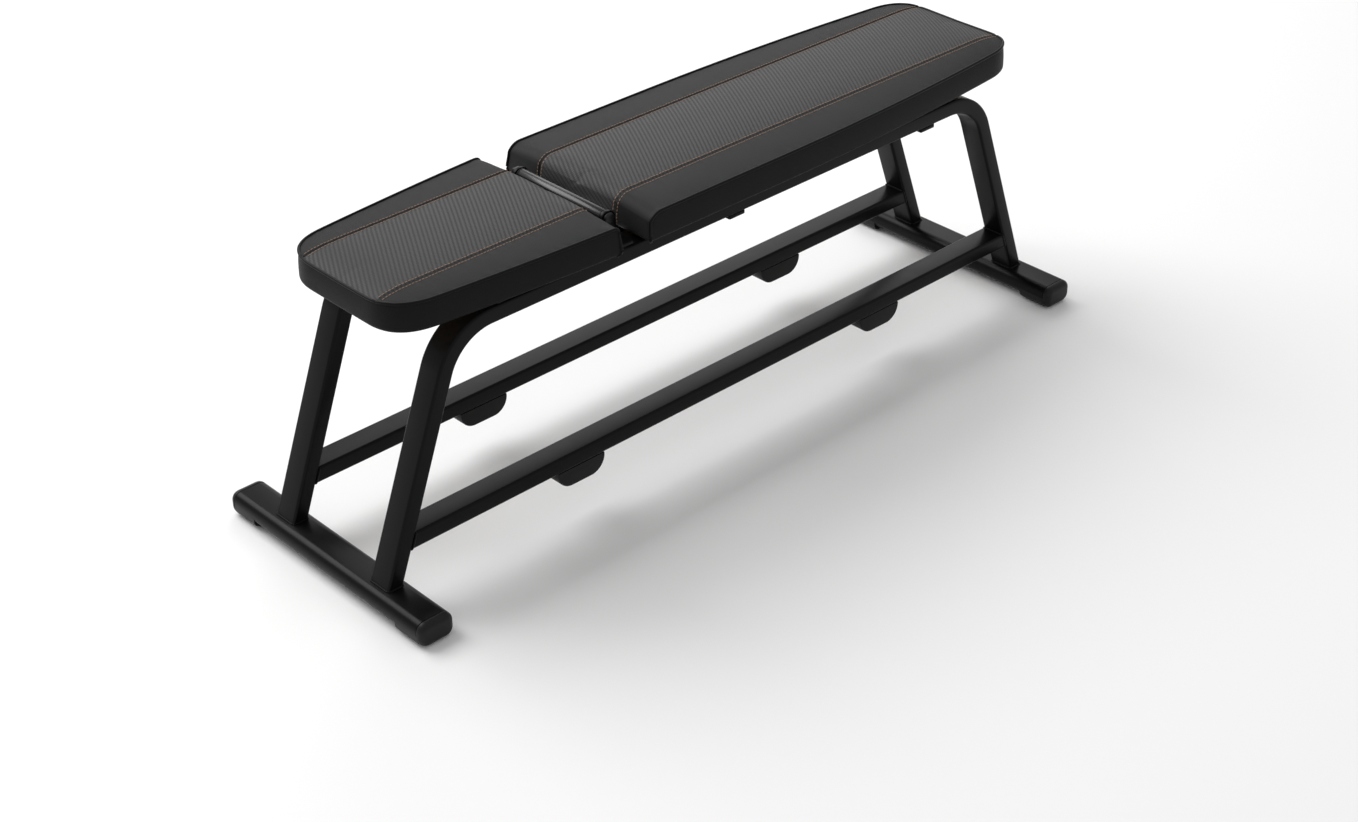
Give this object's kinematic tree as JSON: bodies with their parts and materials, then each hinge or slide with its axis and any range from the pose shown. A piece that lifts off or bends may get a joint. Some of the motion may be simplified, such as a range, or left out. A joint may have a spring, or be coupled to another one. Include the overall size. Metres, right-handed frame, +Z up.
{
  "type": "adjustable weight bench",
  "caption": "Padded weight bench on two bent tube side frames, with a fixed seat, a backrest that tilts about a hinge bar and steps on a notched ladder, and low storage rails.",
  "frame": {"origin": "on the floor, under the middle of the bench's bounding box", "axes": "+X along the bench towards the head end of the backrest, +Y towards the right side of someone who sits on the seat with the backrest behind them, +Z up"},
  "size_m": [1.305, 0.428, 0.44],
  "materials": {
    "frame_steel": "satin black powder coat",
    "hinge_steel": "smooth black coat, semi-gloss",
    "bare_steel": "zinc plated",
    "cap_plastic": "moulded black plastic",
    "block_rubber": "matt black rubber",
    "plywood": "raw plywood",
    "pad_vinyl": "dark grey vinyl with a twill-pattern centre panel and copper double stitching"
  },
  "bodies": {
    "frame": {"cross_strap_front": "frame_steel", "cross_strap_hinge": "frame_steel", "cross_strap_rear": "frame_steel", "foot_cap_front_left": "cap_plastic", "foot_cap_front_right": "cap_plastic", "foot_cap_rear_left": "cap_plastic", "foot_cap_rear_right": "cap_plastic", "foot_tube_front": "frame_steel", "foot_tube_rear": "frame_steel", "hinge_bolt": "bare_steel", "hinge_bracket_left": "frame_steel", "hinge_bracket_right": "frame_steel", "hinge_nut": "bare_steel", "ladder_plate_left": "frame_steel", "ladder_plate_right": "frame_steel", "rack_rail_left": "frame_steel", "rack_rail_right": "frame_steel", "rail_block_front_left": "block_rubber", "rail_block_front_right": "block_rubber", "rail_block_rear_left": "block_rubber", "rail_block_rear_right": "block_rubber", "rest_bumper_front_left": "block_rubber", "rest_bumper_front_right": "block_rubber", "rest_bumper_rear_left": "block_rubber", "rest_bumper_rear_right": "block_rubber", "seat_board": "plywood", "seat_bolt_front_left": "bare_steel", "seat_bolt_front_right": "bare_steel", "seat_bolt_rear_left": "bare_steel", "seat_bolt_rear_right": "bare_steel", "seat_pad": "pad_vinyl", "seat_strap_front": "frame_steel", "seat_strap_rear": "frame_steel", "side_frame_left": "frame_steel", "side_frame_right": "frame_steel"},
    "backrest": {"back_board": "plywood", "back_bolt_front_left": "bare_steel", "back_bolt_front_right": "bare_steel", "back_bolt_rear_left": "bare_steel", "back_bolt_rear_right": "bare_steel", "back_cross_plate_front": "frame_steel", "back_cross_plate_rear": "frame_steel", "back_pad": "pad_vinyl", "back_rail_cap_left": "cap_plastic", "back_rail_cap_right": "cap_plastic", "back_rail_left": "frame_steel", "back_rail_right": "frame_steel", "hinge_arm_left": "frame_steel", "hinge_arm_right": "frame_steel", "hinge_bushing_left": "cap_plastic", "hinge_bushing_right": "cap_plastic", "hinge_sleeve": "hinge_steel"},
    "prop": {"prop_arm_left": "frame_steel", "prop_arm_right": "frame_steel", "prop_bar_sleeve_left": "cap_plastic", "prop_bar_sleeve_right": "cap_plastic", "prop_crossbar": "bare_steel", "prop_pivot_nut": "bare_steel", "prop_pivot_pin": "bare_steel"}
  },
  "joints": [
    {"name": "backrest_tilt", "type": "hinge", "parent": "frame", "child": "backrest", "pos_m": [-0.2135, 0, 0.413], "axis": [0, -1, 0], "range_deg": [0, 70]},
    {"name": "prop_swing", "type": "hinge", "parent": "backrest", "child": "prop", "pos_m": [0.072, 0, 0.3777], "axis": [0, 1, 0], "range_deg": [0, 140]}
  ],
  "couplings": [
    {"joint": "prop_swing", "follows": "backrest_tilt", "ratio": 2}
  ]
}
